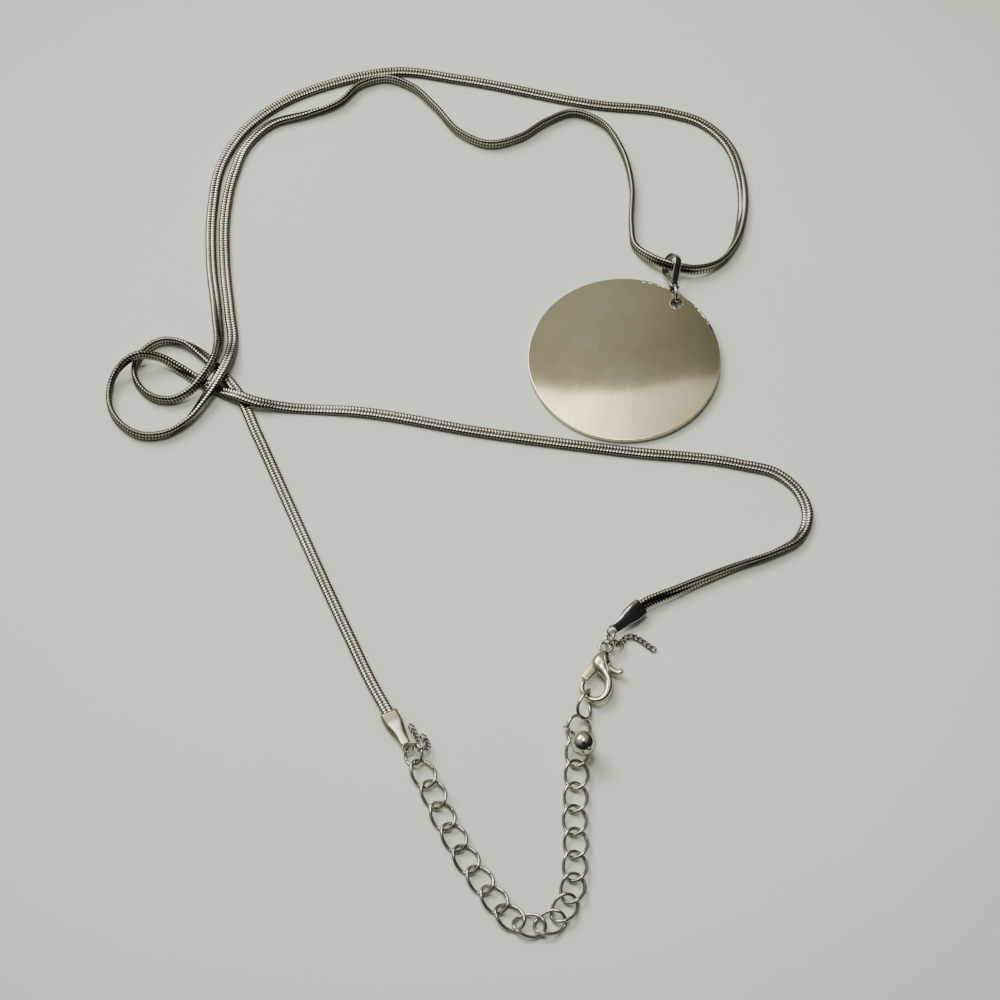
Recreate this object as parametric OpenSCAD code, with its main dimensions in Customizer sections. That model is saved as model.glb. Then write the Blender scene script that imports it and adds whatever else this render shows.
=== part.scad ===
// Long pendant necklace lying on a table: a polished disc on a bail, a flat snake chain with
// fold-over end caps, a lobster clasp and an extender chain with a drop bead.
// Millimetres. Origin under the disc's centre, on the table. +Z is up.

/* [Pendant] */
// Diameter of the disc
disc_d = 35; // [34.6:0.1:35]
// Thickness of the disc
disc_t = 1; // [0.8:0.1:1]
// Diameter of the hole near the rim
disc_hole_d = 2; // [1.9:0.05:2.1]
// Wire of the ring between disc and bail
jump_wire = 0.55; // [0.5:0.05:0.6]
// Width of the bail's band
bail_w = 1.5; // [1.4:0.1:1.6]
// Sheet thickness of the bail
bail_t = 0.4; // [0.35:0.05:0.45]

/* [Snake chain] */
// Width of the flat chain
chain_w = 2.1; // [1.8:0.1:2.1]
// Thickness of the flat chain
chain_t = 1.05; // [0.9:0.05:1.05]

/* [End caps] */
// Width of a cap at its mouth
cap_w = 3; // [2.9:0.1:3.2]
// Height of a cap at its mouth
cap_h = 1.9; // [1.8:0.1:1.9]
// Wire of the ring on the left cap
left_ring_wire = 0.55; // [0.5:0.05:0.55]
// Wire of the ring on the right cap
right_ring_wire = 0.5; // [0.4:0.05:0.5]

/* [Extender chain] */
// Outer length of a link
link_len = 5.8; // [5.7:0.05:5.9]
// Outer width of a link
link_wid = 4.4; // [4.2:0.05:4.4]
// Wire of a link
link_wire = 0.6; // [0.5:0.05:0.6]
// Diameter of the drop bead
bead_d = 4.2; // [3.6:0.1:4.2]

/* [Clasp] */
// Thickness of the clasp's body
clasp_t = 2.6; // [2.6:0.1:2.8]
// Diameter of the lever's rivet
rivet_d = 0.8; // [0.7:0.05:0.9]

/* [Hidden] */
steel = "#c9c8c2";
satin = "#b9b5a6";
dark_steel = "#8f8f8b";

// The disc's far edge lies on the table and its hole end rests on the jump ring
disc_tilt = 1.5;
hole_at = [9.9, 12];
hole_turn = atan2(hole_at[1], hole_at[0]);
hole_r = norm(hole_at);
disc_rise = disc_d / 2 * sin(disc_tilt);

// Bail: centre of its round part on the chain, heading of its tab, lean to the side, tip
bail_at = [9.2, 19.9, 2.4];
bail_turn = -86;
bail_lean = -30;
bail_tip = 1.23;
bail_r = 2.3;
bail_hole_x = 4.65;
bail_end_r = 0.96;
bail_hole_r = 0.66;

// Jump ring between the disc's hole and the bail's hole, standing upright
jump_at = [9.7, 13.71, 2.05];
jump_turn = 96.6;
jump_r = 1.75;

// End caps: mouth centre, heading of the tip, roll about the long axis
left_cap_at = [-41.2, -71.8, 0.95];
left_cap_turn = -62.6;
right_cap_at = [1.7, -51.6, 1.6];
right_cap_turn = -136.3;
right_cap_roll = -30;
cap_len = 4.4;
cap_sheet = 0.33;
cap_hole_r = 0.72;
cap_tip_r = 1;
left_hole_x = 7.3;
right_hole_x = 7;

// Rings: centre, heading and tilt of a ring that would otherwise lie flat
left_ring_at = [-36.87, -79.69, 1.38];
left_ring_tilt = 40;
left_ring_r = 1.72;
right_ring_at = [-3.84, -57.76, 1.6];
right_ring_turn = -110;
right_ring_tilt = 60;
right_ring_r = 1.4;

// Clasp: centre of its eye, heading of its hook, then points in its own flat frame
clasp_at = [-4.45, -59.45, 1.5];
clasp_turn = -100;
eye_r = 1.05;
eye_wire = 0.55;
rivet_at = [3.6, 0];
rivet_play = 0.05;
lever_t = 0.6;
slot_t = 1.1;
shell_at = [3.6, -0.3];
shell_r = 1.8;
hook_at = [8.07, -0.56];
hook_r = 2.28;
hook_wire_r = 0.55;
limb_root = [5, 0.85];
limb_end = [7.1, 1.5];

// Bead pin: loop centre, direction of the pin, spin of the loop about it
pin_at = [-10.95, -75.1, 1.4];
pin_turn = -58;
pin_lean = 61;
pin_spin = 34;
pin_loop_r = 1;
pin_wire = 0.4;
bead_along = 4.9;

// Snake chain route: x, y, lift off the table, roll of the flat section
chain_route = [
    [-39.8, -74.5, 0.4, 0], [-41.2, -71.8, 0.4, 0], [-44.3, -65.7, 0.05, 0], [-48, -57.5, 0, 0],
    [-57.9, -34.6, 0, 0], [-66, -15.6, 0, 0], [-70, -6.6, 0, 0], [-73.2, -2.4, 0, 0],
    // the small loop, standing on edge
    [-76.6, 1.2, 0, 20], [-80.4, 3.7, 0, 65], [-84.2, 3.9, 0, 90], [-87.4, 1.5, 0, 90],
    [-88.7, -2, 0, 90], [-87.7, -5.7, 0, 90], [-85, -8.3, 0, 90], [-81.4, -8.9, 0.1, 90],
    [-78.2, -7.3, 0.6, 80], [-75.8, -4.4, 1.3, 68], [-74.2, -1, 1.3, 60], [-73.7, 3, 0.7, 40],
    // up the outer strand, over the top and down to the bail
    [-74.4, 10, 0.1, 10], [-76.1, 22, 0, 0], [-76.6, 34, 0, 0], [-75.3, 45.2, 0, 0],
    [-71.2, 53.6, 0, 0], [-64.2, 60.2, 0, 0], [-54.5, 65, 0, 0], [-42.5, 67.8, 0, 0],
    [-30, 65.8, 0, 0], [-3, 59.4, 0, 0], [9, 57.8, 0, 0], [16, 55.2, 0, 0],
    [20.7, 50.2, 0, 0], [23, 42.4, 0, 5], [22.8, 32, 0, 30], [20.9, 25.4, 0, 65],
    [18, 21.4, 0.05, 88], [14, 19.5, 0.68, 112], [9.2, 19.9, 1.38, 122],
    // from the bail back along the inner strand, on edge through its waves
    [5.2, 22.2, 0.83, 112], [2.6, 25.4, 0.05, 95], [2.1, 30, 0, 90], [2.4, 39.5, 0, 90],
    [0.6, 48.3, 0, 88], [-3.2, 54.9, 0, 80], [-8.6, 57.3, 0, 76], [-13.6, 55, 0, 85],
    [-18.6, 51.2, 0, 90], [-24.6, 49.5, 0, 90], [-30, 52.1, 0, 90], [-35, 58.6, 0, 90],
    [-39.6, 63.6, 0, 90], [-44.4, 65.7, 0, 90], [-49.4, 64.2, 0, 85], [-53.6, 59.8, 0, 65],
    [-59.5, 57.2, 0, 40], [-66.2, 54.8, 0, 25], [-70.7, 49.8, 0, 12], [-72.9, 43, 0, 0],
    [-74.1, 33, 0, 0], [-73.6, 22, 0, 0], [-72, 10, 0, 0], [-71.2, 4, 0.2, 0],
    [-71.8, -0.6, 1.15, 8], [-73.4, -4.8, 1.4, 15], [-75.6, -9, 0.95, 35],
    // the large loop, on edge, over the small one and back under both strands
    [-78.4, -13.2, 0.2, 60], [-82.2, -16.1, 0, 88], [-86.6, -16.4, 0, 90], [-90.2, -14.2, 0, 90],
    [-92.4, -10.6, 0, 90], [-92.8, -6.6, 0.2, 90], [-91.4, -3, 1.2, 90], [-88.2, -0.8, 2.3, 88],
    [-84.2, -0.5, 1.3, 85], [-80.4, -2.2, 0.15, 60], [-76.8, -4.6, 0, 20], [-73.3, -6.5, 0.15, 0],
    [-69.8, -8.3, 1.25, 0], [-66.6, -9.5, 1.1, 0], [-62, -10, 0.1, 0],
    // the long straight and the bend to the right cap
    [-47.6, -11.1, 0, 0], [-26, -15.4, 0, 0], [0, -19.5, 0, 0], [20, -22.2, 0, 0],
    [26.6, -24.2, 0, 0], [30.4, -28.4, 0, 0], [31.4, -33, 0, 15], [29.4, -37.8, 0, 40],
    [25.4, -40.4, 0, 62], [18, -43.6, 0, 95], [8, -48.3, 0.35, 125], [1.7, -51.6, 0.82, 150],
    [-0.5, -53.7, 0.82, 150]
];
table_gap = 0.02;
// corners of the flat section as shares of half the width and half the thickness
chain_shape = [[1, 0.4], [0.6, 1], [-0.6, 1], [-1, 0.4], [-1, -0.4], [-0.6, -1], [0.6, -1], [1, -0.4]];

// Extender links: x, y, height of the centre, heading, roll about the long axis
links = [
    [-35.2, -82.95, 1.1, -63, 0], [-33.4, -86.7, 1, -64, 8], [-31.9, -90.5, 0.8, -65, 0],
    [-30, -94.3, 0.8, -63, 0], [-28, -98.2, 0.8, -60, 0], [-25.7, -101.8, 0.8, -57, 0],
    [-23.4, -105.2, 0.8, -54, 0], [-20.9, -108.3, 0.8, -42, 0], [-17.8, -109.8, 0.8, -10, 0],
    [-14.5, -109.4, 0.8, 22, 0], [-12.1, -106.9, 0.8, 55, 0], [-10.7, -103.4, 0.8, 75, 0],
    [-10.3, -99.5, 0.8, 88, 0], [-10.1, -95.4, 0.8, 89, 0], [-10.2, -91.3, 0.8, 90, 0],
    [-10, -87.2, 0.8, 88, 0], [-9.8, -83.1, 0.8, 87, 0], [-9.6, -79, 0.85, 87, 0],
    [-9.35, -74.95, 1.15, 86, 0], [-8.12, -70.6, 2, 76, 65]
];
link_twist = 0.48;
link_rings = 24;
link_sides = 8;

// Tails of fine chain: x, y, height along each strand
tail_link = [1.5, 1.15, 0.26];
tail_step = 0.92;
tail_loop_r = 0.7;
// each strand's loop round its ring: centre, heading, rise, roll
left_loop_a = [[-36.39, -78.02, 2.12], 74, -27, 73];
left_loop_b = [[-35.49, -79.15, 2.37], 25, -34, 93];
right_loop = [[-3.35, -58.69, 2.55], -21, -30, -61];
left_tail_a = [[-36.33, -77.71, 1.94], [-36.3, -76.9, 1.4], [-36.7, -75.6, 0.7], [-37.5, -73.6, 0.42]];
left_tail_b = [[-35.18, -79, 2.13], [-34.6, -78.6, 1.5], [-34.5, -77.6, 0.8], [-34.9, -76.6, 0.42],
    [-35.6, -75.4, 0.42]];
right_tail = [[-3.01, -58.82, 2.34], [-2.3, -59.3, 1.5], [-1.9, -58.5, 0.7], [-1.4, -57.4, 0.42],
    [-0.3, -56.6, 0.42], [1.4, -57.4, 0.42], [2.7, -58.6, 0.42], [3.9, -59.5, 0.42]];

function link_name(i) = str("extender_link_", i < 10 ? "0" : "", i);
function unit(v) = v / norm(v);

// ---- swept tubes -------------------------------------------------------------------------
// corners of a section, width along the side direction and height along the up direction
function section_at(centre, along, roll, corners) =
    let (side = unit([-along[1], along[0], 0]), up = cross(along, side))
    let (w = cos(roll) * side + sin(roll) * up, u = cos(roll) * up - sin(roll) * side)
    [for (c = corners) centre + c[0] * w + c[1] * u];

// side faces between ring i and ring j, two triangles to each corner
function band(i, j, sides) = [for (k = [0:sides - 1]) let (n = (k + 1) % sides)
    each [[i * sides + k, j * sides + k, j * sides + n], [i * sides + k, j * sides + n, i * sides + n]]];

module open_tube(sections) {
    sides = len(sections[0]);
    last = len(sections) - 1;
    polyhedron(
        points = [for (s = sections) each s],
        faces = concat([[for (k = [0:sides - 1]) k]],
            [for (i = [0:last - 1]) each band(i, i + 1, sides)],
            [[for (k = [sides - 1:-1:0]) last * sides + k]])
    );
}

module closed_tube(sections) {
    sides = len(sections[0]);
    count = len(sections);
    polyhedron(
        points = [for (s = sections) each s],
        faces = [for (i = [0:count - 1]) each band(i, (i + 1) % count, sides)]
    );
}

// ---- snake chain -------------------------------------------------------------------------
chain_corners = [for (c = chain_shape) [c[0] * chain_w / 2, c[1] * chain_t / 2]];
function chain_half_height(roll) = max([for (c = chain_corners) c[0] * sin(roll) + c[1] * cos(roll)]);
chain_centres = [for (p = chain_route) [p[0], p[1], p[2] + table_gap + chain_half_height(p[3])]];
chain_last = len(chain_centres) - 1;
function chain_along(i) =
    unit(chain_centres[min(i + 1, chain_last)] - chain_centres[max(i - 1, 0)]);

module snake_chain() {
    color(steel)
    open_tube([for (i = [0:chain_last])
        section_at(chain_centres[i], chain_along(i), chain_route[i][3], chain_corners)]);
}

// ---- end caps ----------------------------------------------------------------------------
// fold-over crimp end: a flat box round the chain, tapering to a tongue with a hole
module end_cap(hole_x, tongue_z) {
    tip_w = cap_tip_r * 2;
    difference() {
        union() {
            translate([0, 0, -cap_h / 2])
            linear_extrude(cap_h)
            polygon([[0, -cap_w / 2], [2.6, -cap_w / 2], [cap_len, -tip_w / 2 + 0.1],
                [cap_len, tip_w / 2 - 0.1], [2.6, cap_w / 2], [0, cap_w / 2]]);
            translate([cap_len - 0.3, -cap_tip_r, tongue_z - cap_sheet / 2])
            cube([hole_x - cap_len + 0.3, tip_w, cap_sheet]);
            translate([hole_x, 0, tongue_z - cap_sheet / 2])
            cylinder(h = cap_sheet, r = cap_tip_r, $fn = 48);
        }
        translate([-0.1, -chain_w / 2 - 0.12, -chain_t / 2 - 0.1])
        cube([3.3, chain_w + 0.24, chain_t + 0.2]);
        // seam between the two folded flaps
        translate([-0.1, -0.06, chain_t / 2])
        cube([cap_len - 1.2, 0.12, cap_h]);
        // the sloping shoulder down to the tongue
        translate([2.6, -cap_w, tongue_z + cap_sheet / 2])
        rotate([0, atan2(cap_h / 2 - tongue_z - cap_sheet / 2, cap_len - 2.6), 0])
        translate([0, 0, cap_h / 2 - tongue_z - cap_sheet / 2])
        cube([cap_len, cap_w * 2, cap_h]);
        translate([hole_x, 0, -cap_h])
        cylinder(h = cap_h * 2, r = cap_hole_r, $fn = 48);
    }
}

module left_end_cap() {
    color(satin)
    translate(left_cap_at)
    rotate([0, 0, left_cap_turn])
    end_cap(left_hole_x, 0.25);
}

module right_end_cap() {
    color(steel)
    translate(right_cap_at)
    rotate([0, 0, right_cap_turn])
    rotate([right_cap_roll, 0, 0])
    end_cap(right_hole_x, 0);
}

// ---- rings -------------------------------------------------------------------------------
module wire_ring(r, wire) {
    rotate_extrude($fn = 72)
    translate([r, 0])
    circle(d = wire, $fn = 32);
}

module left_ring() {
    color(steel)
    translate(left_ring_at)
    rotate([0, 0, left_cap_turn])
    rotate([left_ring_tilt, 0, 0])
    wire_ring(left_ring_r, left_ring_wire);
}

module right_ring() {
    color(steel)
    translate(right_ring_at)
    rotate([0, 0, right_ring_turn])
    rotate([right_ring_tilt, 0, 0])
    wire_ring(right_ring_r, right_ring_wire);
}

module pendant_jump_ring() {
    color(steel)
    translate(jump_at)
    rotate([0, 0, jump_turn])
    rotate([90, 0, 0])
    wire_ring(jump_r, jump_wire);
}

// ---- pendant -----------------------------------------------------------------------------
module pendant_disc() {
    edge = disc_t * 0.3;
    color(satin)
    rotate([0, 0, hole_turn])
    translate([0, 0, disc_rise])
    rotate([0, -disc_tilt, 0])
    difference() {
        rotate_extrude($fn = 180)
        polygon([[0, 0], [disc_d / 2 - edge, 0], [disc_d / 2, edge], [disc_d / 2, disc_t - edge],
            [disc_d / 2 - edge, disc_t], [0, disc_t]]);
        translate([hole_r, 0, -1])
        cylinder(h = disc_t + 2, d = disc_hole_d, $fn = 64);
    }
}

// side view of the bail: a round eye and two leaves closing to a tab
module bail_profile() {
    tab = bail_t;
    tab_x = 3.6;
    tab_dist = norm([tab_x, tab]);
    out_turn = atan2(tab, tab_x) + acos(bail_r / tab_dist);
    in_r = bail_r - bail_t;
    in_turn = acos(in_r / 3.1);
    difference() {
        union() {
            circle(r = bail_r, $fn = 96);
            polygon([[0, 0], bail_r * [cos(out_turn), sin(out_turn)], [tab_x, tab],
                [bail_hole_x + bail_end_r, tab], [bail_hole_x + bail_end_r, -tab], [tab_x, -tab],
                bail_r * [cos(out_turn), -sin(out_turn)]]);
        }
        circle(r = in_r, $fn = 96);
        polygon([[0, 0], in_r * [cos(in_turn), sin(in_turn)], [3.1, 0],
            in_r * [cos(in_turn), -sin(in_turn)]]);
    }
}

module bail() {
    color(steel)
    translate(bail_at)
    rotate([0, 0, bail_turn])
    rotate([0, -bail_tip, 0])
    rotate([bail_lean, 0, 0])
    difference() {
        intersection() {
            translate([0, bail_w, 0])
            rotate([90, 0, 0])
            linear_extrude(bail_w * 2)
            bail_profile();
            union() {
                translate([-bail_r - 1, -bail_w / 2, -bail_r - 1])
                cube([bail_r + 1 + bail_hole_x, bail_w, bail_r * 2 + 2]);
                translate([bail_hole_x, 0, -bail_r])
                cylinder(h = bail_r * 2, r = bail_end_r, $fn = 64);
            }
        }
        translate([bail_hole_x, 0, -bail_r])
        cylinder(h = bail_r * 2, r = bail_hole_r, $fn = 48);
    }
}

// ---- clasp -------------------------------------------------------------------------------
module place_clasp() {
    translate(clasp_at)
    rotate([0, 0, clasp_turn])
    children();
}

// round bar between two points of the clasp's flat frame
module bar(from, to, r1, r2) {
    run = to - from;
    translate([from[0], from[1], 0])
    rotate([0, 90, atan2(run[1], run[0])])
    cylinder(h = norm(run), r1 = r1, r2 = r2, $fn = 48);
}

module clasp_body() {
    bevel = 0.5;
    half = clasp_t / 2;
    color(steel)
    place_clasp() {
        wire_ring(eye_r, eye_wire);
        difference() {
            union() {
                translate([shell_at[0], shell_at[1], 0])
                rotate_extrude($fn = 96)
                polygon([[0, -half], [shell_r - bevel, -half], [shell_r, -half + bevel],
                    [shell_r, half - bevel], [shell_r - bevel, half], [0, half]]);
                translate([0, 0, -half + bevel / 2])
                linear_extrude(clasp_t - bevel)
                polygon([[1, -0.5], [3, -2], [3, 1.4], [1, 0.5]]);
                bar([4.3, 0.6], limb_root, half - bevel / 2, half - bevel / 2);
            }
            translate([2.3, -3, -slot_t / 2])
            cube([2.5, 6, slot_t]);
            translate([3, -3, -slot_t / 2])
            cube([3, 2.9, slot_t]);
            translate([rivet_at[0], rivet_at[1], -half - 1])
            cylinder(h = clasp_t + 2, d = rivet_d, $fn = 48);
        }
        bar(limb_root, limb_end, 0.8, hook_wire_r);
        translate([limb_end[0], limb_end[1], 0])
        sphere(r = hook_wire_r, $fn = 48);
        translate([hook_at[0], hook_at[1], 0])
        rotate([0, 0, -111])
        rotate_extrude(angle = 226, $fn = 96)
        translate([hook_r, 0])
        circle(r = hook_wire_r, $fn = 32);
    }
}

// flat lever: a hub on the rivet, the gate towards the hook's tip and the thumb tab
module clasp_lever() {
    color(steel)
    place_clasp()
    translate([0, 0, -lever_t / 2])
    linear_extrude(lever_t)
    difference() {
        union() {
            translate(rivet_at)
            circle(r = 0.85, $fn = 48);
            polygon([[3.5, -0.8], [4.4, 0], [7.05, -2], [6.75, -2.75], [6.2, -2.9]]);
            polygon([[3.2, 0.5], [4.1, 0.5], [4.5, 2], [4.5, 3.3], [3.9, 3.3], [3.8, 2]]);
            translate([4.2, 3.3])
            circle(r = 0.3, $fn = 32);
        }
        translate(rivet_at)
        circle(r = rivet_d / 2 + rivet_play, $fn = 48);
    }
}

module clasp_rivet() {
    color(dark_steel)
    place_clasp()
    translate([rivet_at[0], rivet_at[1], -clasp_t / 2 - 0.08])
    cylinder(h = clasp_t + 0.16, d = rivet_d, $fn = 48);
}

// one open turn of spring wire round the rivet, between the lever and the shell's cheek
module clasp_spring() {
    color(dark_steel)
    place_clasp()
    translate([rivet_at[0], rivet_at[1], 0.425])
    rotate([0, 0, 100])
    rotate_extrude(angle = 300, $fn = 64)
    translate([0.66, 0])
    circle(d = 0.16, $fn = 24);
}

// ---- extender chain ----------------------------------------------------------------------
// oval wire link with its two ends twisted opposite ways, so flat links pass through each other
function link_point(a, b, twist, t) = [a * cos(t), b * sin(t), twist * sin(2 * t)];
function link_along(a, b, twist, t) = unit([-a * sin(t), b * cos(t), 2 * twist * cos(2 * t)]);
function round_corners(r, sides) =
    [for (k = [0:sides - 1]) r * [cos(k * 360 / sides), sin(k * 360 / sides)]];

module curb_link(size, twist, rings, sides) {
    a = (size[0] - size[2]) / 2;
    b = (size[1] - size[2]) / 2;
    closed_tube([for (i = [0:rings - 1]) let (t = i * 360 / rings)
        section_at(link_point(a, b, twist, t), link_along(a, b, twist, t), 0,
            round_corners(size[2] / 2, sides))]);
}

module extender_link(i) {
    p = links[i - 1];
    color(steel)
    translate([p[0], p[1], p[2]])
    rotate([0, 0, p[3]])
    rotate([p[4], 0, 0])
    curb_link([link_len, link_wid, link_wire], link_twist, link_rings, link_sides);
}

module place_pin() {
    translate(pin_at)
    rotate([0, pin_lean, pin_turn])
    children();
}

module bead() {
    color(steel)
    place_pin()
    translate([0, 0, bead_along])
    difference() {
        sphere(d = bead_d, $fn = 96);
        cylinder(h = bead_d + 1, d = pin_wire + 0.1, center = true, $fn = 32);
    }
}

module bead_pin() {
    color(steel)
    place_pin() {
        rotate([0, 0, pin_spin])
        rotate([90, 0, 0])
        wire_ring(pin_loop_r, pin_wire);
        translate([0, 0, pin_loop_r])
        cylinder(h = bead_along + bead_d / 2 - pin_loop_r + 0.1, d = pin_wire, $fn = 32);
        translate([0, 0, bead_along + bead_d / 2 + 0.05])
        cylinder(h = 0.25, d = pin_wire * 2, $fn = 32);
    }
}

// ---- tails of fine chain -----------------------------------------------------------------
// point and direction a distance s along a strand of straight runs
function strand_length(path, i) = i < 1 ? 0 : strand_length(path, i - 1) + norm(path[i] - path[i - 1]);
function strand_run(path, s, i) =
    i >= len(path) - 1 || strand_length(path, i) > s ? i : strand_run(path, s, i + 1);
function strand_point(path, s) =
    let (i = strand_run(path, s, 1), d = unit(path[i] - path[i - 1]))
    path[i - 1] + d * (s - strand_length(path, i - 1));

module tail_strand(loop, path) {
    translate(loop[0])
    rotate([0, -loop[2], loop[1]])
    rotate([loop[3], 0, 0])
    wire_ring(tail_loop_r, tail_link[2]);
    count = floor(strand_length(path, len(path) - 1) / tail_step);
    for (i = [0:count - 1]) {
        a = strand_point(path, i * tail_step);
        b = strand_point(path, (i + 1) * tail_step);
        d = unit(b - a);
        translate((a + b) / 2)
        rotate([0, -asin(d[2]), atan2(d[1], d[0])])
        curb_link(tail_link, 0.2, 14, 6);
    }
}

module left_tail_chain() {
    color(dark_steel) {
        tail_strand(left_loop_a, left_tail_a);
        tail_strand(left_loop_b, left_tail_b);
    }
}

module right_tail_chain() {
    color(dark_steel)
    tail_strand(right_loop, right_tail);
}

// ---- the parts ---------------------------------------------------------------------------
pendant_disc();
pendant_jump_ring();
bail();
snake_chain();
left_end_cap();
right_end_cap();
left_ring();
right_ring();
clasp_body();
clasp_lever();
clasp_rivet();
clasp_spring();
bead();
bead_pin();
left_tail_chain();
right_tail_chain();
for (i = [1:20]) extender_link(i);
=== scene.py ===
import math

import bpy
import numpy as np
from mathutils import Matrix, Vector


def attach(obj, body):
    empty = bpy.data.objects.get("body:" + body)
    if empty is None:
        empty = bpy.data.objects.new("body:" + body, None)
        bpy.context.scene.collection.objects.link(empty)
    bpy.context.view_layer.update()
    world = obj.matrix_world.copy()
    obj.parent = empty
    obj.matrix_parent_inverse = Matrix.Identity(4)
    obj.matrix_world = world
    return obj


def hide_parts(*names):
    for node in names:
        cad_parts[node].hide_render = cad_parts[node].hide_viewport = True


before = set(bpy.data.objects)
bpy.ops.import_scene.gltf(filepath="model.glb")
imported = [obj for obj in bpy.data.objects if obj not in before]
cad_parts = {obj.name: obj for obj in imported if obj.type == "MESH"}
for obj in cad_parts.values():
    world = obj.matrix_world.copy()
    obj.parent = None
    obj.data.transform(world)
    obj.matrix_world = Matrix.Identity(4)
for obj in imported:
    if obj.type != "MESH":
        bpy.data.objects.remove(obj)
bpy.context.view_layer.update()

V = np.array
TAU = 2 * math.pi


# ---------------------------------------------------------------- camera and set
scene = bpy.context.scene
cam_data = bpy.data.cameras.new("camera")
cam_data.sensor_width = 36
cam_data.lens = 99
cam_data.clip_start = 0.05
cam_data.clip_end = 20
cam = bpy.data.objects.new("camera", cam_data)
cam.location = (-0.0225, -0.281, 0.414)
cam.rotation_euler = (math.radians(31.3), 0, 0)
scene.collection.objects.link(cam)
scene.camera = cam


# ---------------------------------------------------------------- materials
def new_mat(name):
    m = bpy.data.materials.new(name)
    m.use_nodes = True
    nt = m.node_tree
    nt.nodes.clear()
    out = nt.nodes.new("ShaderNodeOutputMaterial")
    bsdf = nt.nodes.new("ShaderNodeBsdfPrincipled")
    nt.links.new(bsdf.outputs["BSDF"], out.inputs["Surface"])
    return m, nt, bsdf


def noise(nt, coord, scale, detail=3.0, rough=0.55, stretch=None):
    """A fixed noise texture in object space, from 0 to 1."""
    n = nt.nodes.new("ShaderNodeTexNoise")
    n.inputs["Scale"].default_value = scale
    n.inputs["Detail"].default_value = detail
    n.inputs["Roughness"].default_value = rough
    src = coord
    if stretch:
        mp = nt.nodes.new("ShaderNodeMapping")
        mp.inputs["Scale"].default_value = stretch
        nt.links.new(coord, mp.inputs["Vector"])
        src = mp.outputs["Vector"]
    nt.links.new(src, n.inputs["Vector"])
    return n.outputs["Fac"]


def ramp(nt, fac, stops):
    """Colours given as (position, rgb), blended along fac."""
    r = nt.nodes.new("ShaderNodeValToRGB")
    e = r.color_ramp.elements
    while len(e) < len(stops):
        e.new(0.5)
    for k, (pos, col) in enumerate(stops):
        e[k].position = pos
        e[k].color = (*col, 1)
    nt.links.new(fac, r.inputs["Fac"])
    return r.outputs["Color"]


def grey(v):
    return (v, v, v)


def multiply(nt, first, second):
    mx = nt.nodes.new("ShaderNodeMix")
    mx.data_type = "RGBA"
    mx.blend_type = "MULTIPLY"
    mx.inputs[0].default_value = 1.0
    nt.links.new(first, mx.inputs[6])
    nt.links.new(second, mx.inputs[7])
    return mx.outputs[2]


def map_range(nt, value, **limits):
    """Limits are given as From_Min, From_Max, To_Min and To_Max."""
    r = nt.nodes.new("ShaderNodeMapRange")
    nt.links.new(value, r.inputs["Value"])
    for key, limit in limits.items():
        r.inputs[key.replace("_", " ")].default_value = limit
    return r.outputs["Result"]


def bump(nt, height, strength, distance, normal=None):
    bp = nt.nodes.new("ShaderNodeBump")
    bp.inputs["Strength"].default_value = strength
    bp.inputs["Distance"].default_value = distance
    nt.links.new(height, bp.inputs["Height"])
    if normal:
        nt.links.new(normal, bp.inputs["Normal"])
    return bp.outputs["Normal"]


def object_coords(nt):
    return nt.nodes.new("ShaderNodeTexCoord").outputs["Object"]


# Polished plating seen along its surface is darker than seen square on.
EDGE_TINT = (0.30, 0.295, 0.27, 1.0)


def metal(name, base, dark, rough, spread=0.08, uneven=0.02, scale=900.0, patch=120.0, groove_shade_attribute=None):
    """Polished or satin metal: tarnish patches, fine roughness spots, a little uneven surface, and painted shade in the
    grooves where a shade attribute is given.
    """
    m, nt, b = new_mat(name)
    co = object_coords(nt)
    tone = ramp(nt, noise(nt, co, patch, 4.0), [(0.3, dark), (0.62, base)])
    if groove_shade_attribute:
        # painted shade: the attribute darkens the colour in the grooves, nearly to black where they are deepest
        at = nt.nodes.new("ShaderNodeAttribute")
        at.attribute_name = groove_shade_attribute
        painted_groove_shade = ramp(nt, at.outputs["Fac"], [(0.0, grey(0.03)), (0.45, grey(0.24)), (0.88, grey(1.0))])
        tone = multiply(nt, tone, painted_groove_shade)
    nt.links.new(tone, b.inputs["Base Color"])
    b.inputs["Metallic"].default_value = 1.0
    b.inputs["Specular Tint"].default_value = EDGE_TINT
    spots = map_range(nt, noise(nt, co, scale, 5.0), To_Min=max(rough - spread * 0.5, 0.03), To_Max=rough + spread)
    nt.links.new(spots, b.inputs["Roughness"])
    nt.links.new(bump(nt, noise(nt, co, scale * 0.6, 3.0), uneven, 0.0004), b.inputs["Normal"])
    return m


def disc_material():
    """Polished sheet: faint waves from rolling, a few long scratches, a slightly warm tone."""
    m, nt, b = new_mat("disc_polished")
    co = object_coords(nt)
    tone = ramp(nt, noise(nt, co, 60.0, 7.0, 0.62),
                [(0.28, (0.58, 0.545, 0.43)), (0.5, (0.69, 0.655, 0.54)), (0.72, (0.78, 0.75, 0.645))])
    nt.links.new(tone, b.inputs["Base Color"])
    b.inputs["Metallic"].default_value = 1.0
    b.inputs["Specular Tint"].default_value = EDGE_TINT
    nt.links.new(map_range(nt, noise(nt, co, 700.0, 6.0), To_Min=0.03, To_Max=0.065), b.inputs["Roughness"])
    waves = bump(nt, noise(nt, co, 70.0, 0.6), 0.03, 0.0012)
    lines = ramp(nt, noise(nt, co, 260.0, 2.0, stretch=(9.0, 0.35, 1.0)), [(0.66, grey(1.0)), (0.70, grey(0.0))])
    nt.links.new(bump(nt, lines, 0.025, 0.0001, waves), b.inputs["Normal"])
    return m


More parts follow.
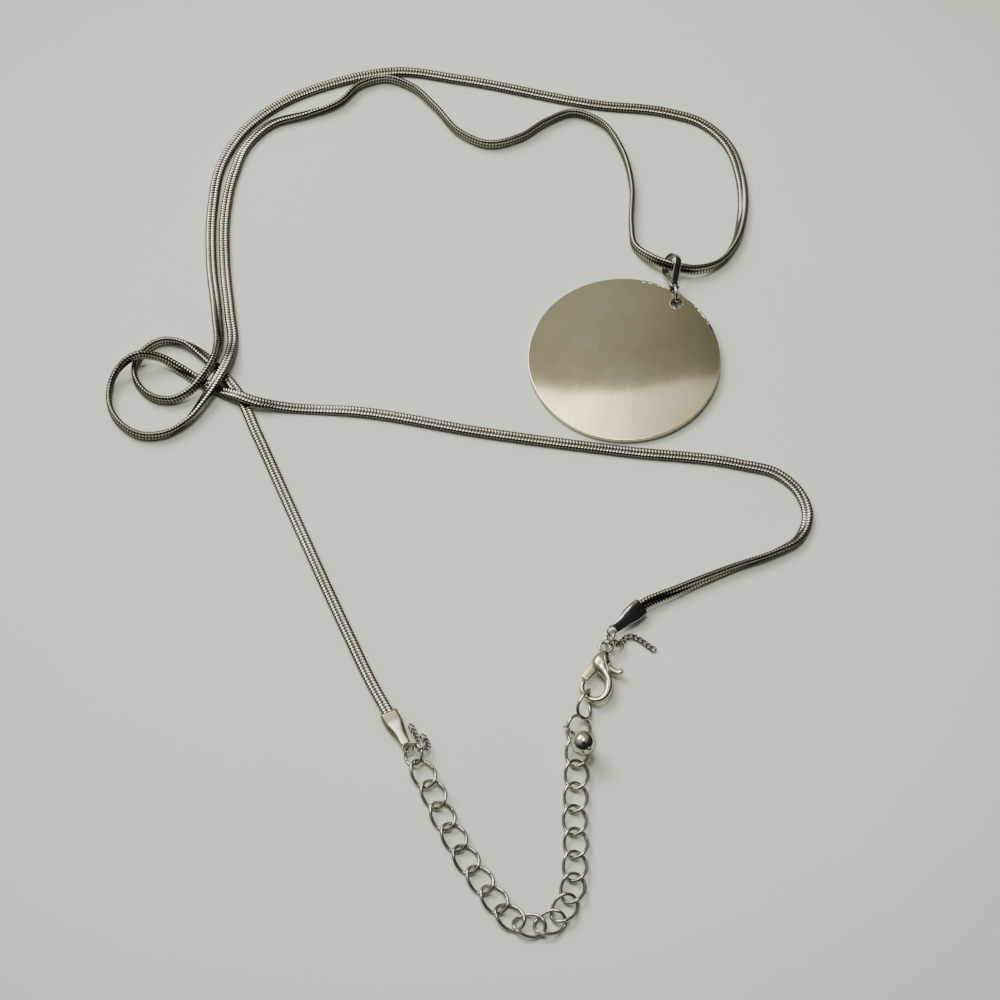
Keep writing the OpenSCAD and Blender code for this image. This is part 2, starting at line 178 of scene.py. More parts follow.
STEEL = metal("wire_polished", (0.47, 0.46, 0.415), (0.30, 0.295, 0.265), 0.12)
CLASP = metal("clasp_polished", (0.58, 0.55, 0.46), (0.42, 0.395, 0.325), 0.14, patch=260.0)
BAIL = metal("bail_polished", (0.50, 0.495, 0.475), (0.38, 0.375, 0.355), 0.08, 0.05)
MIRROR = metal("bead_mirror", (0.56, 0.55, 0.50), (0.47, 0.46, 0.42), 0.05, 0.03, 0.005)
SATIN = metal("cap_satin", (0.29, 0.27, 0.20), (0.21, 0.195, 0.14), 0.22, 0.1, 0.05)
BLACKED = metal("cap_mirror", (0.40, 0.39, 0.37), (0.24, 0.235, 0.22), 0.08, 0.05, 0.02)
FINE = metal("fine_chain", (0.40, 0.39, 0.355), (0.19, 0.185, 0.165), 0.18, 0.1, 0.03, patch=500.0)
# the snake chain's colour is darkened by painted shade from its ridge attribute
CHAIN = metal("snake_chain", (0.60, 0.585, 0.515), (0.43, 0.415, 0.355), 0.17, 0.1, 0.02, patch=90.0, groove_shade_attribute="ridge")
DARK = metal("inner_steel", (0.42, 0.41, 0.39), (0.22, 0.22, 0.21), 0.3, 0.1, 0.03)
DISC = disc_material()


# ---------------------------------------------------------------- meshes
def mesh(name, verts, faces, mat, body, stands_for, slot, ridge=None):
    """A smooth-shaded piece from millimetres, riding on a body in place of the exact parts it stands for."""
    me = bpy.data.meshes.new(name)
    me.from_pydata([tuple(v) for v in np.asarray(verts) * 0.001], [], [tuple(f) for f in faces])
    me.update()
    me.materials.append(mat)
    # an optional mask of painted shade, stored as an attribute that the material darkens the colour by
    if ridge is not None:
        at = me.attributes.new("ridge", "FLOAT", "POINT")
        at.data.foreach_set("value", np.asarray(ridge, np.float32))
    me.polygons.foreach_set("use_smooth", [True] * len(me.polygons))
    ob = bpy.data.objects.new(name, me)
    scene.collection.objects.link(ob)
    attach(ob, body)
    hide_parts(*stands_for)
    return ob


def unit(v):
    return v / np.maximum(np.linalg.norm(v, axis=-1, keepdims=True), 1e-9)


def rot(turn=0, rise=0, roll=0):
    """Local x along the heading, raised by rise, rolled about itself. Degrees."""
    a, b, c = (math.radians(t) for t in (turn, rise, roll))
    rz = V([[math.cos(a), -math.sin(a), 0], [math.sin(a), math.cos(a), 0], [0, 0, 1]])
    ry = V([[math.cos(b), 0, -math.sin(b)], [0, 1, 0], [math.sin(b), 0, math.cos(b)]])
    rx = V([[1, 0, 0], [0, math.cos(c), -math.sin(c)], [0, math.sin(c), math.cos(c)]])
    return rz @ ry @ rx


def grid_faces(n, m, closed_n, closed_m):
    """Quads over n rows of m vertices, closed round either way."""
    out = []
    for i in range(n if closed_n else n - 1):
        j = (i + 1) % n
        for k in range(m if closed_m else m - 1):
            q = (k + 1) % m
            out.append((i * m + k, j * m + k, j * m + q, i * m + q))
    return out


def tube_faces(n, m):
    """An open tube of n rows of m vertices with a flat face on each end."""
    ends = [tuple(range(m)), tuple((n - 1) * m + k for k in range(m - 1, -1, -1))]
    return grid_faces(n, m, False, True) + ends


def sweep(path, section, closed=False, up=None):
    """path (n,3); section (n,m,2) or (m,2): offsets along side and up. Returns verts, faces."""
    path = np.asarray(path, float)
    n = len(path)
    if closed:
        t = unit(np.roll(path, -1, 0) - np.roll(path, 1, 0))
    else:
        t = unit(np.gradient(path, axis=0))
    if up is None:
        side = unit(np.stack([-t[:, 1], t[:, 0], 0 * t[:, 0]], 1))
    else:
        side = unit(np.cross(np.broadcast_to(up, t.shape), t))
    u = np.cross(t, side)
    sec = np.broadcast_to(section, (n,) + np.shape(section)[-2:])
    v = path[:, None] + sec[..., :1] * side[:, None] + sec[..., 1:] * u[:, None]
    m = sec.shape[1]
    return v.reshape(-1, 3), grid_faces(n, m, True, True) if closed else tube_faces(n, m)


def circle2(r, m=12):
    a = np.arange(m) / m * TAU
    return r * np.stack([np.cos(a), np.sin(a)], 1)


def superellipse(angles, x_power, y_power):
    """Cosine and sine with the corners squared off: smaller powers are squarer."""
    c, s = np.cos(angles), np.sin(angles)
    return np.sign(c) * np.abs(c) ** x_power, np.sign(s) * np.abs(s) ** y_power


def join(parts):
    """Several (vertices, faces) pairs as one."""
    vs, fs, base = [], [], 0
    for v, f in parts:
        vs.append(np.asarray(v))
        fs += [tuple(base + i for i in q) for q in f]
        base += len(v)
    return np.concatenate(vs), fs


def place(vf, at, r=np.eye(3)):
    """Turn by r, then move to at."""
    v, f = vf
    return np.asarray(v) @ r.T + V(at), f


# the length of an eased wire end and its radii, as shares of the wire's radius
EASE_LENGTH = 0.25
EASE_RADII = [0.78, 0.93, 1.0]


def torus(r, wire, n=96, m=20, gap=0.0):
    """A wire ring in the local XY plane; gap is the width of its cut."""
    if not gap:
        a = np.arange(n) / n * TAU
        return sweep(np.stack([r * np.cos(a), r * np.sin(a), 0 * a], 1), circle2(wire / 2, m), True)
    g = gap / r / 2
    a = np.linspace(g, TAU - g, n)
    return eased_tube(np.stack([r * np.cos(a), r * np.sin(a), 0 * a], 1), wire / 2, m)


def eased_tube(path, r, m=16):
    """A wire whose cut ends are slightly eased."""
    first, last = unit(path[1] - path[0]), unit(path[-1] - path[-2])
    step = r * EASE_LENGTH / 2
    full = [path[0], path[0] + first * step, path[0] + first * step * 2, *path[1:-1],
            path[-1] - last * step * 2, path[-1] - last * step, path[-1]]
    rr = r * V([*EASE_RADII, *[1.0] * len(path[1:-1]), *EASE_RADII[::-1]])
    return sweep(V(full), circle2(1, m)[None] * rr[:, None, None])


# points worked out between two given points of a curve, before it is cut to even steps
SPLINE_STEPS = 24


def spline(points, step):
    """Smooth curve through the points (columns beyond the first three ride along)."""
    p = np.asarray(points, float)
    d = np.maximum(np.linalg.norm(np.diff(p[:, :3], axis=0), axis=1), 1e-6)
    n = len(p)
    tan = np.zeros_like(p)
    for i in range(1, n - 1):
        a, b = d[i - 1], d[i]
        tan[i] = ((p[i + 1] - p[i]) / b * a + (p[i] - p[i - 1]) / a * b) / (a + b)
    tan[0] = (p[1] - p[0]) / d[0]
    tan[-1] = (p[-1] - p[-2]) / d[-1]
    dense = []
    for i in range(n - 1):
        t = np.linspace(0, 1, SPLINE_STEPS, endpoint=False)[:, None]
        h = d[i]
        dense.append(
            (2 * t**3 - 3 * t**2 + 1) * p[i] + (t**3 - 2 * t**2 + t) * h * tan[i]
            + (-2 * t**3 + 3 * t**2) * p[i + 1] + (t**3 - t**2) * h * tan[i + 1]
        )
    dense = np.concatenate(dense + [p[-1:]])
    s = np.concatenate([[0], np.cumsum(np.linalg.norm(np.diff(dense[:, :3], axis=0), axis=1))])
    count = max(int(round(s[-1] / step)), 2)
    q = np.linspace(0, s[-1], count + 1)
    return np.stack([np.interp(q, s, dense[:, k]) for k in range(p.shape[1])], 1), q


# ---------------------------------------------------------------- snake chain
CHAIN_W = 2.1
CHAIN_T = 1.05
PITCH = 0.565  # from one ridge to the next
TABLE_GAP = 0.02
# x, y, lift off the table, roll of the flat section (the same route as the exact solids)
ROUTE = [
    (-39.8, -74.5, 0.4, 0), (-41.2, -71.8, 0.4, 0), (-44.3, -65.7, 0.05, 0), (-48, -57.5, 0, 0),
    (-57.9, -34.6, 0, 0), (-66, -15.6, 0, 0), (-70, -6.6, 0, 0), (-73.2, -2.4, 0, 0),
    # the small loop, standing on edge
    (-76.6, 1.2, 0, 20), (-80.4, 3.7, 0, 65), (-84.2, 3.9, 0, 90), (-87.4, 1.5, 0, 90),
    (-88.7, -2, 0, 90), (-87.7, -5.7, 0, 90), (-85, -8.3, 0, 90), (-81.4, -8.9, 0.1, 90),
    (-78.2, -7.3, 0.6, 80), (-75.8, -4.4, 1.3, 68), (-74.2, -1, 1.3, 60), (-73.7, 3, 0.7, 40),
    # up the outer strand, over the top and down to the bail
    (-74.4, 10, 0.1, 10), (-76.1, 22, 0, 0), (-76.6, 34, 0, 0), (-75.3, 45.2, 0, 0),
    (-71.2, 53.6, 0, 0), (-64.2, 60.2, 0, 0), (-54.5, 65, 0, 0), (-42.5, 67.8, 0, 0),
    (-30, 65.8, 0, 0), (-3, 59.4, 0, 0), (9, 57.8, 0, 0), (16, 55.2, 0, 0),
    (20.7, 50.2, 0, 0), (23, 42.4, 0, 5), (22.8, 32, 0, 30), (20.9, 25.4, 0, 65),
    (18, 21.4, 0.05, 88), (14, 19.5, 0.68, 112), (9.2, 19.9, 1.38, 122),
    # from the bail back along the inner strand, on edge through its waves
    (5.2, 22.2, 0.83, 112), (2.6, 25.4, 0.05, 95), (2.1, 30, 0, 90), (2.4, 39.5, 0, 90),
    (0.6, 48.3, 0, 88), (-3.2, 54.9, 0, 80), (-8.6, 57.3, 0, 76), (-13.6, 55, 0, 85),
    (-18.6, 51.2, 0, 90), (-24.6, 49.5, 0, 90), (-30, 52.1, 0, 90), (-35, 58.6, 0, 90),
    (-39.6, 63.6, 0, 90), (-44.4, 65.7, 0, 90), (-49.4, 64.2, 0, 85), (-53.6, 59.8, 0, 65),
    (-59.5, 57.2, 0, 40), (-66.2, 54.8, 0, 25), (-70.7, 49.8, 0, 12), (-72.9, 43, 0, 0),
    (-74.1, 33, 0, 0), (-73.6, 22, 0, 0), (-72, 10, 0, 0), (-71.2, 4, 0.2, 0),
    (-71.8, -0.6, 1.15, 8), (-73.4, -4.8, 1.4, 15), (-75.6, -9, 0.95, 35),
    # the large loop, on edge, over the small one and back under both strands
    (-78.4, -13.2, 0.2, 60), (-82.2, -16.1, 0, 88), (-86.6, -16.4, 0, 90), (-90.2, -14.2, 0, 90),
    (-92.4, -10.6, 0, 90), (-92.8, -6.6, 0.2, 90), (-91.4, -3, 1.2, 90), (-88.2, -0.8, 2.3, 88),
    (-84.2, -0.5, 1.3, 85), (-80.4, -2.2, 0.15, 60), (-76.8, -4.6, 0, 20), (-73.3, -6.5, 0.15, 0),
    (-69.8, -8.3, 1.25, 0), (-66.6, -9.5, 1.1, 0), (-62, -10, 0.1, 0),
    # the long straight and the bend to the right cap
    (-47.6, -11.1, 0, 0), (-26, -15.4, 0, 0), (0, -19.5, 0, 0), (20, -22.2, 0, 0),
    (26.6, -24.2, 0, 0), (30.4, -28.4, 0, 0), (31.4, -33, 0, 15), (29.4, -37.8, 0, 40),
    (25.4, -40.4, 0, 62), (18, -43.6, 0, 95), (8, -48.3, 0.35, 125), (1.7, -51.6, 0.82, 150),
    (-0.5, -53.7, 0.82, 150),
]


def half_height(roll):
    """How far the rolled section reaches above its centre."""
    s, c = (abs(f(math.radians(roll))) for f in (math.sin, math.cos))
    return max(x * CHAIN_W / 2 * s + y * CHAIN_T / 2 * c for x, y in ((1, 0.4), (0.6, 1)))


def chain_shape():
    """Flat section with two rounded lanes on each face: x, y and distance from the middle (0 to 1)."""
    pts = []
    for sgn in (1, -1):
        for x in (1.0, 0.86, 0.55, 0.25, 0.0, -0.25, -0.55, -0.86):
            x = x * sgn
            if abs(x) == 1.0:
                top = 0.0
            elif abs(x) == 0.86:
                top = 0.72
            else:
                top = 0.80 + 0.20 * max(1 - abs(abs(x) - 0.52) / 0.52, 0) ** 0.6
            pts.append((x * CHAIN_W / 2, sgn * top * CHAIN_T / 2, abs(x)))
    return V(pts)


def build_chain():
    pts = [(x, y, lift + TABLE_GAP + half_height(roll), roll) for x, y, lift, roll in ROUTE]
    p, s = spline(pts, PITCH / 4)
    t = unit(np.gradient(p[:, :3], axis=0))
    side = unit(np.stack([-t[:, 1], t[:, 0], 0 * t[:, 0]], 1))
    up = np.cross(t, side)
    a = np.radians(p[:, 3])[:, None]
    w = np.cos(a) * side + np.sin(a) * up
    u = np.cos(a) * up - np.sin(a) * side
    shape = chain_shape()
    # ridges lean back towards both edges, so each face shows rows of slanted links
    lean = 0.55 * shape[:, 2]
    phase = s[:, None] / PITCH + lean[None, :] + np.where(shape[None, :, 1] < 0, 0.5, 0.0)
    ridge = (0.5 + 0.5 * np.cos(TAU * phase)) ** 0.8
    swell = 1.0 - 0.13 * (1 - ridge)
    x = shape[None, :, 0] * (0.5 + 0.5 * swell)
    y = shape[None, :, 1] * swell
    v = p[:, None, :3] + x[..., None] * w[:, None] + y[..., None] * u[:, None]
    # painted shade: the grooves between ridges, the seam between the lanes and the two edges are painted darker than
    # the ridges
    shade = ridge * np.where(shape[:, 2] < 0.05, 0.25, 1.0) * np.where(shape[:, 2] > 0.9, 0.55, 1.0)
    ob = mesh("chain_ridged", v.reshape(-1, 3), tube_faces(len(p), len(shape)), CHAIN, "necklace", ("snake_chain",),
              "chain_steel", shade.reshape(-1))
    path = p[::8, :3] * 0.001
    path = np.concatenate([path, p[-1:, :3] * 0.001])


build_chain()


# ---------------------------------------------------------------- pendant
DISC_R, DISC_T = 17.5, 1.0
HOLE_R = 1.0
HOLE_AT = V([9.9, 12.0])
DISC_TILT = 1.5  # degrees, raised on the side of the hole


def lathe(profile, n):
    """profile of (radius, z) turned about z."""
    prof = np.asarray(profile, float)
    a = np.arange(n) / n * TAU
    v = np.stack([prof[None, :, 0] * np.cos(a)[:, None], prof[None, :, 0] * np.sin(a)[:, None],
                  np.broadcast_to(prof[None, :, 1], (n, len(prof)))], 2)
    return v.reshape(-1, 3), [(q[3], q[2], q[1], q[0]) for q in grid_faces(n, len(prof), True, False)]


def disc():
    """Blank with an eased edge and a hole: rings of vertices morph from the hole to the rim."""
    r, t = DISC_R, DISC_T
    n = 192
    out = float(np.linalg.norm(HOLE_AT))
    a = np.arange(n) / n * TAU
    ca, sa = np.cos(a), np.sin(a)
    # distance from the hole's centre to the rim in each direction
    b = out * ca
    far = -b + np.sqrt(b * b + r * r - out * out)

    def ring(frac=0.0, inset=0.0, at_hole=None, z=0.0):
        if at_hole is not None:
            x, y = out + at_hole * ca, at_hole * sa
        else:
            d = far if inset else HOLE_R + (far - HOLE_R) * frac
            k = (r - inset) / r
            x, y = (out + d * ca) * k, d * sa * k
        return np.stack([x, y, z + 0 * x], 1)

    rows = []
    for hrad, z in ((1.0, 0.12), (1.0, t - 0.12), (1.02, t - 0.05), (1.09, t)):
        rows.append(ring(at_hole=hrad, z=z))
    for fr in (0.02, 0.06, 0.14, 0.26, 0.4, 0.55, 0.7, 0.84, 0.94):
        rows.append(ring(frac=fr, z=t))
    # the eased rim; the least inset of 1e-4 tells ring() that the row is on the rim
    for ins, z in ((0.22, t), (0.16, t), (0.12, t - 0.002), (0.06, t - 0.03), (0.02, t - 0.08), (0.005, t - 0.14),
                   (0.0, t - 0.22), (0.0, 0.35), (0.01, 0.22), (0.06, 0.1), (0.16, 0.03), (0.30, 0.0)):
        rows.append(ring(inset=max(ins, 1e-4), z=z))
    for fr in (0.8, 0.5, 0.2, 0.05):
        rows.append(ring(frac=fr, z=0.0))
    rows.append(ring(at_hole=1.06, z=0.0))
    f = [(a, d, c, b) for a, b, c, d in grid_faces(len(rows), n, True, True)]
    rise = DISC_R * math.sin(math.radians(DISC_TILT))
    v = np.concatenate(rows) @ rot(0, DISC_TILT).T + V([0, 0, rise])
    return v @ rot(math.degrees(math.atan2(HOLE_AT[1], HOLE_AT[0]))).T, f


mesh("pendant_disc_polished", *disc(), DISC, "disc", ("pendant_disc",), slot="disc_steel")
mesh("jump_ring_wire", *place(torus(1.75, 0.55, gap=0.05), (9.7, 13.71, 2.05), rot(96.6) @ rot(0, 0, 90) @ rot(70)),
     BAIL, "jump_ring", ("pendant_jump_ring",), slot="polished_steel")


def bail():
    """A band folded over the chain: its two leaves close on a flat eye for the ring."""
    r = 2.1
    join_x = 3.9
    a0 = math.acos(r / join_x)
    pts = [(r * math.cos(a), r * math.sin(a)) for a in np.linspace(a0, TAU - a0, 25)]
    start = V(pts[0])
    leaf = [tuple(V([join_x, 0.2]) * (1 - q) + start * q) for q in (0.0, 0.12, 0.35, 0.65, 0.9)]
    line = V(leaf + pts + [(x, -y) for x, y in reversed(leaf)])
    path = spline(np.concatenate([line[:, :1], 0 * line[:, :1], line[:, 1:]], 1), 0.12)[0]
    t = unit(np.gradient(path, axis=0))
    nrm = np.cross(t, V([0, 1, 0]))
    hw = np.interp(path[:, 0], [-r, 1.0, 3.2, join_x], [0.75, 0.75, 0.72, 0.66])
    across, through = superellipse(np.linspace(0, TAU, 24, endpoint=False), 0.35, 0.75)
    v = path[:, None] + (across[None] * hw[:, None])[..., None] * V([0, 1, 0]) + (
        through[None] * 0.2)[..., None] * nrm[:, None]
    prof = [(0.66, -0.34), (0.70, -0.39), (0.88, -0.40), (0.94, -0.36), (0.96, -0.28), (0.96, 0.28),
            (0.94, 0.36), (0.88, 0.40), (0.70, 0.39), (0.66, 0.34), (0.66, -0.34)]
    return join([(v.reshape(-1, 3), tube_faces(*v.shape[:2])), place(lathe(prof, 64), (4.65, 0, 0))])


mesh("bail_band", *place(bail(), (9.2, 19.9, 2.4), rot(-86, 1.23, -30)), BAIL, "bail", ("bail",),
     slot="polished_steel")


# ---------------------------------------------------------------- end caps
def loft(rows):
    """rows of (x, half width, half height, centre z, corner power); closed with end faces."""
    m = 40
    a = np.arange(m) / m * TAU
    vs = []
    for x, w, h, z, k in rows:
        c, s = superellipse(a, k, k)
        vs.append(np.stack([x + 0 * a, w * c, z + h * s], 1))
    return np.concatenate(vs), tube_faces(len(rows), m)


def cap_shell(hole_x, tongue_z):
    """A box round the chain's end that narrows to a thin tongue with an eye."""
    body = loft([
        (0.25, 1.20, 0.62, 0, 0.35), (0.02, 1.28, 0.72, 0, 0.3), (0.0, 1.42, 0.86, 0, 0.3),
        (0.06, 1.5, 0.94, 0, 0.3), (0.5, 1.5, 0.95, 0, 0.3), (1.6, 1.5, 0.95, 0, 0.3),
        (2.3, 1.48, 0.93, 0, 0.32), (2.9, 1.40, 0.84, 0, 0.42), (3.6, 1.25, 0.70, tongue_z * 0.2, 0.55),
        (4.3, 1.10, 0.56, tongue_z * 0.5, 0.66), (5.0, 0.98, 0.40, tongue_z * 0.8, 0.66),
        (5.6, 0.90, 0.26, tongue_z, 0.55), (hole_x - 0.95, 0.84, 0.175, tongue_z, 0.45),
        (hole_x - 0.85, 0.80, 0.15, tongue_z, 0.4),
    ])
    # the tongue's end: a flat eye round the ring's wire
    prof = [(0.88 + 0.16 * math.cos(b), 0.165 * math.sin(b)) for b in np.arange(16) / 16 * TAU]
    return join([body, place(lathe(prof + prof[:1], 64), (hole_x, 0, tongue_z))])


mesh("left_cap_shell", *place(cap_shell(7.3, 0.25), (-41.2, -71.8, 0.95), rot(-62.6)), SATIN, "necklace",
     ("left_end_cap",), slot="satin_steel")
mesh("right_cap_shell", *place(cap_shell(7.0, 0.0), (1.7, -51.6, 1.6), rot(-136.3, 0, -30)), BLACKED, "necklace",
     ("right_end_cap",), slot="polished_steel")


# ---------------------------------------------------------------- rings
mesh("left_ring_wire", *place(torus(1.72, 0.55, gap=0.04), (-36.87, -79.69, 1.38), rot(-62.6, 0, 40) @ rot(120)),
     STEEL, "left_ring", ("left_ring",), slot="polished_steel")
mesh("right_ring_wire", *place(torus(1.4, 0.5, gap=0.04), (-3.84, -57.76, 1.6), rot(-110, 0, 60) @ rot(75)),
     STEEL, "right_ring", ("right_ring",), slot="polished_steel")


# ---------------------------------------------------------------- extender links
# x, y, z, heading and roll of each link
LINKS = [
    (-35.2, -82.95, 1.1, -63, 0), (-33.4, -86.7, 1, -64, 8), (-31.9, -90.5, 0.8, -65, 0),
    (-30, -94.3, 0.8, -63, 0), (-28, -98.2, 0.8, -60, 0), (-25.7, -101.8, 0.8, -57, 0),
    (-23.4, -105.2, 0.8, -54, 0), (-20.9, -108.3, 0.8, -42, 0), (-17.8, -109.8, 0.8, -10, 0),
    (-14.5, -109.4, 0.8, 22, 0), (-12.1, -106.9, 0.8, 55, 0), (-10.7, -103.4, 0.8, 75, 0),
    (-10.3, -99.5, 0.8, 88, 0), (-10.1, -95.4, 0.8, 89, 0), (-10.2, -91.3, 0.8, 90, 0),
    (-10, -87.2, 0.8, 88, 0), (-9.8, -83.1, 0.8, 87, 0), (-9.6, -79, 0.85, 87, 0),
    (-9.35, -74.95, 1.15, 86, 0), (-8.12, -70.6, 2, 76, 65),
]


LINK_SIZE = {"length": 5.8, "width": 4.4, "wire": 0.6, "twist": 0.48}


def oval(length, width, wire, twist, n=64, m=14, seam=0.0):
    """An oval wire link with twisted ends; seam marks where its two ends meet."""
    a = np.arange(n) / n * TAU
    p = np.stack([(length - wire) / 2 * np.cos(a), (width - wire) / 2 * np.sin(a), twist * np.sin(2 * a)], 1)
    r = wire / 2 * (1 - 0.10 * np.exp(-(((a - math.pi / 2) * 18) ** 2)) * seam)
    return sweep(p, circle2(1, m)[None] * r[:, None, None], True)


for i, (x, y, z, turn, roll) in enumerate(LINKS):
    body = "extender" if i % 2 == 0 else "link_%02d" % (i + 1)
    name = "extender_link_%02d" % (i + 1)
    mesh("link_wire_%02d" % (i + 1), *place(oval(**LINK_SIZE, seam=1.0), (x, y, z), rot(turn, 0, roll)),
         STEEL, body, (name,), slot="link_steel")


# ---------------------------------------------------------------- bead
PIN_AT = V([-10.95, -75.1, 1.4])
PIN_ROT = rot(-58, -61)  # local z runs along the pin, from its loop to its head
BEAD_R, BORE_R, BEAD_ALONG = 2.1, 0.25, 4.9


def bead():
    a0 = math.asin(BORE_R / BEAD_R)
    prof = [(BEAD_R * math.sin(q), -BEAD_R * math.cos(q)) for q in np.linspace(a0, math.pi - a0, 49)]
    prof += [(BORE_R, 1.9), (BORE_R, -1.9), prof[0]]
    return place(lathe(prof, 96), (0, 0, BEAD_ALONG))


mesh("bead_ball", *place(bead(), PIN_AT, PIN_ROT), MIRROR, "bead", ("bead",), slot="mirror_steel")
loop = place(torus(1.0, 0.4, gap=0.06), (0, 0, 0), rot(34) @ rot(0, 0, 90) @ rot(80))
shaft = sweep(V([[0.0, 0.0, 0.98], [0.0, 0.0, 2.0], [0, 0, 7.0]]), circle2(0.2, 16), up=V([0, 1, 0]))
head = lathe([(0.0, 7.03), (0.3, 7.03), (0.4, 7.08), (0.4, 7.22), (0.3, 7.3), (0.0, 7.32)], 32)
mesh("bead_pin_wire", *place(join([loop, shaft, head]), PIN_AT, PIN_ROT), STEEL, "bead_pin", ("bead_pin",),
     slot="polished_steel")


# ---------------------------------------------------------------- clasp
CLASP_AT = V([-4.45, -59.45, 1.5])
CLASP_ROT = rot(-100)
RIVET_AT = CLASP_AT + CLASP_ROT @ V([3.6, 0, 0])


def flat_sweep(points, step=0.15, power=0.75, m=24):
    """A bar with an oval section; points are x, y, z, half width, half height."""
    p = spline(points, step)[0]
    c, q = superellipse(np.arange(m) / m * TAU, power, power)
    sec = np.stack([c[None] * p[:, 3:4], q[None] * p[:, 4:5]], 2)
    return sweep(p[:, :3], sec)


def clasp_shell():
    parts = [torus(1.05, 0.55)]
    # pear-shaped upper body flowing into the thick arm and round the hook to its thin tip
    parts.append(flat_sweep([
        (0.85, 0.0, 0, 0.34, 0.3), (1.15, -0.02, 0, 0.62, 0.7), (1.7, -0.12, 0, 1.00, 1.02),
        (2.4, -0.24, 0, 1.40, 1.2), (3.1, -0.3, 0, 1.68, 1.27), (3.7, -0.22, 0, 1.62, 1.27),
        (4.3, 0.08, 0, 1.30, 1.2), (4.9, 0.55, 0, 0.98, 1.06), (5.7, 1.10, 0, 0.80, 0.94),
        (6.6, 1.50, 0, 0.72, 0.85), (7.6, 1.64, 0, 0.70, 0.78), (8.8, 1.46, 0, 0.66, 0.72),
        (9.8, 0.82, 0, 0.60, 0.64), (10.33, -0.30, 0, 0.54, 0.56), (10.10, -1.50, 0, 0.50, 0.52),
        (9.2, -2.50, 0, 0.46, 0.5), (8.2, -2.86, 0, 0.43, 0.48), (7.4, -2.74, 0, 0.40, 0.46),
        (7.15, -2.66, 0, 0.36, 0.42)], power=0.85))
    # the fold where the two halves of the casting run down into the arm
    fold = V([(1.7, 0.0, 0.98), (2.3, 0.05, 1.17), (3.0, 0.25, 1.20), (3.7, 0.50, 1.14), (4.4, 0.85, 1.02),
              (5.2, 1.10, 0.92)])
    for z in (1, -1):
        parts.append(eased_tube(spline(fold * V([1, 1, z]), 0.12)[0], 0.11, 12))
    return join(parts)


def lever():
    """Gate plate from the shoulder to the hook's tip, and the curled thumb tab."""
    gate = flat_sweep([(3.3, -1.0, 0, 0.8, 0.3), (4.2, -1.42, 0, 0.80, 0.34), (5.2, -1.95, 0, 0.74, 0.36),
                       (6.2, -2.40, 0, 0.66, 0.36), (6.75, -2.62, 0, 0.62, 0.36)], power=0.3)
    tab = flat_sweep([(3.7, 0.6, 0, 0.5, 0.3), (4.0, 1.4, 0, 0.50, 0.34), (4.35, 2.1, 0, 0.46, 0.4),
                      (4.42, 2.7, 0, 0.46, 0.45), (4.25, 3.2, 0, 0.50, 0.48), (4.12, 3.5, 0, 0.36, 0.38),
                      (4.08, 3.58, 0, 0.2, 0.2)], power=0.7)
    return join([gate, tab])


mesh("clasp_shell", *place(clasp_shell(), CLASP_AT, CLASP_ROT), CLASP, "clasp", ("clasp_body",), slot="polished_steel")
mesh("clasp_gate", *place(lever(), CLASP_AT, CLASP_ROT), CLASP, "lever", ("clasp_lever",), slot="polished_steel")
rivet = lathe([(0.0, -1.36), (0.3, -1.36), (0.4, -1.3), (0.4, 1.3), (0.3, 1.36), (0.0, 1.36)], 32)
mesh("clasp_rivet_head", *place(rivet, RIVET_AT, CLASP_ROT), CLASP, "clasp", ("clasp_rivet",), slot="dark_steel")
coil_a = np.linspace(0, TAU * 2.6, 120)
coil = np.stack([0.66 * np.cos(coil_a), 0.66 * np.sin(coil_a), 0.36 + 0.05 * coil_a / TAU], 1)
mesh("clasp_spring_coil", *place(sweep(coil, circle2(0.06, 8)), RIVET_AT, CLASP_ROT), DARK, "clasp", ("clasp_spring",),
     slot="dark_steel")


# ---------------------------------------------------------------- tails of fine chain
TAIL_PITCH = 0.92
TAIL_WIRE = 0.26
# per strand: the loop on the ring (centre, heading, rise, roll) and the way the links lie
TAILS = {
    "left_tail_chain": [
        (((-36.39, -78.02, 2.12), 74, -27, 73),
         [(-36.33, -77.71, 1.94), (-36.3, -76.9, 1.4), (-36.7, -75.6, 0.7), (-37.5, -73.6, 0.42)]),
        (((-35.49, -79.15, 2.37), 25, -34, 93),
         [(-35.18, -79, 2.13), (-34.6, -78.6, 1.5), (-34.5, -77.6, 0.8), (-34.9, -76.6, 0.42), (-35.6, -75.4, 0.42)]),
    ],
    "right_tail_chain": [
        (((-3.35, -58.69, 2.55), -21, -30, -61),
         [(-3.01, -58.82, 2.34), (-2.3, -59.3, 1.5), (-1.9, -58.5, 0.7), (-1.4, -57.4, 0.42), (-0.3, -56.6, 0.42),
          (1.4, -57.4, 0.42), (2.7, -58.6, 0.42), (3.9, -59.5, 0.42)]),
    ],
}


def strand(loop, path):
    at, *angles = loop
    parts = [place(torus(0.7, TAIL_WIRE, 48, 12), at, rot(*angles))]
    p = V(path)
    d = np.linalg.norm(np.diff(p, axis=0), axis=1)
    s = np.concatenate([[0], np.cumsum(d)])

    def at_s(q):
        return V([np.interp(q, s, p[:, k]) for k in range(3)])

    for i in range(int(s[-1] / TAIL_PITCH)):
        u, v = at_s(i * TAIL_PITCH), at_s((i + 1) * TAIL_PITCH)
        e = unit(v - u)
        turn = math.degrees(math.atan2(e[1], e[0]))
        rise = math.degrees(math.asin(e[2]))
        parts.append(place(oval(1.5, 1.15, TAIL_WIRE, 0.2, 32, 10), (u + v) / 2, rot(turn, rise, 0)))
    return join(parts)


for node, rows in TAILS.items():
    mesh(node.replace("chain", "links"), *join([strand(*r) for r in rows]), FINE, node.replace("_chain", ""), (node,),
         slot="fine_chain_steel")


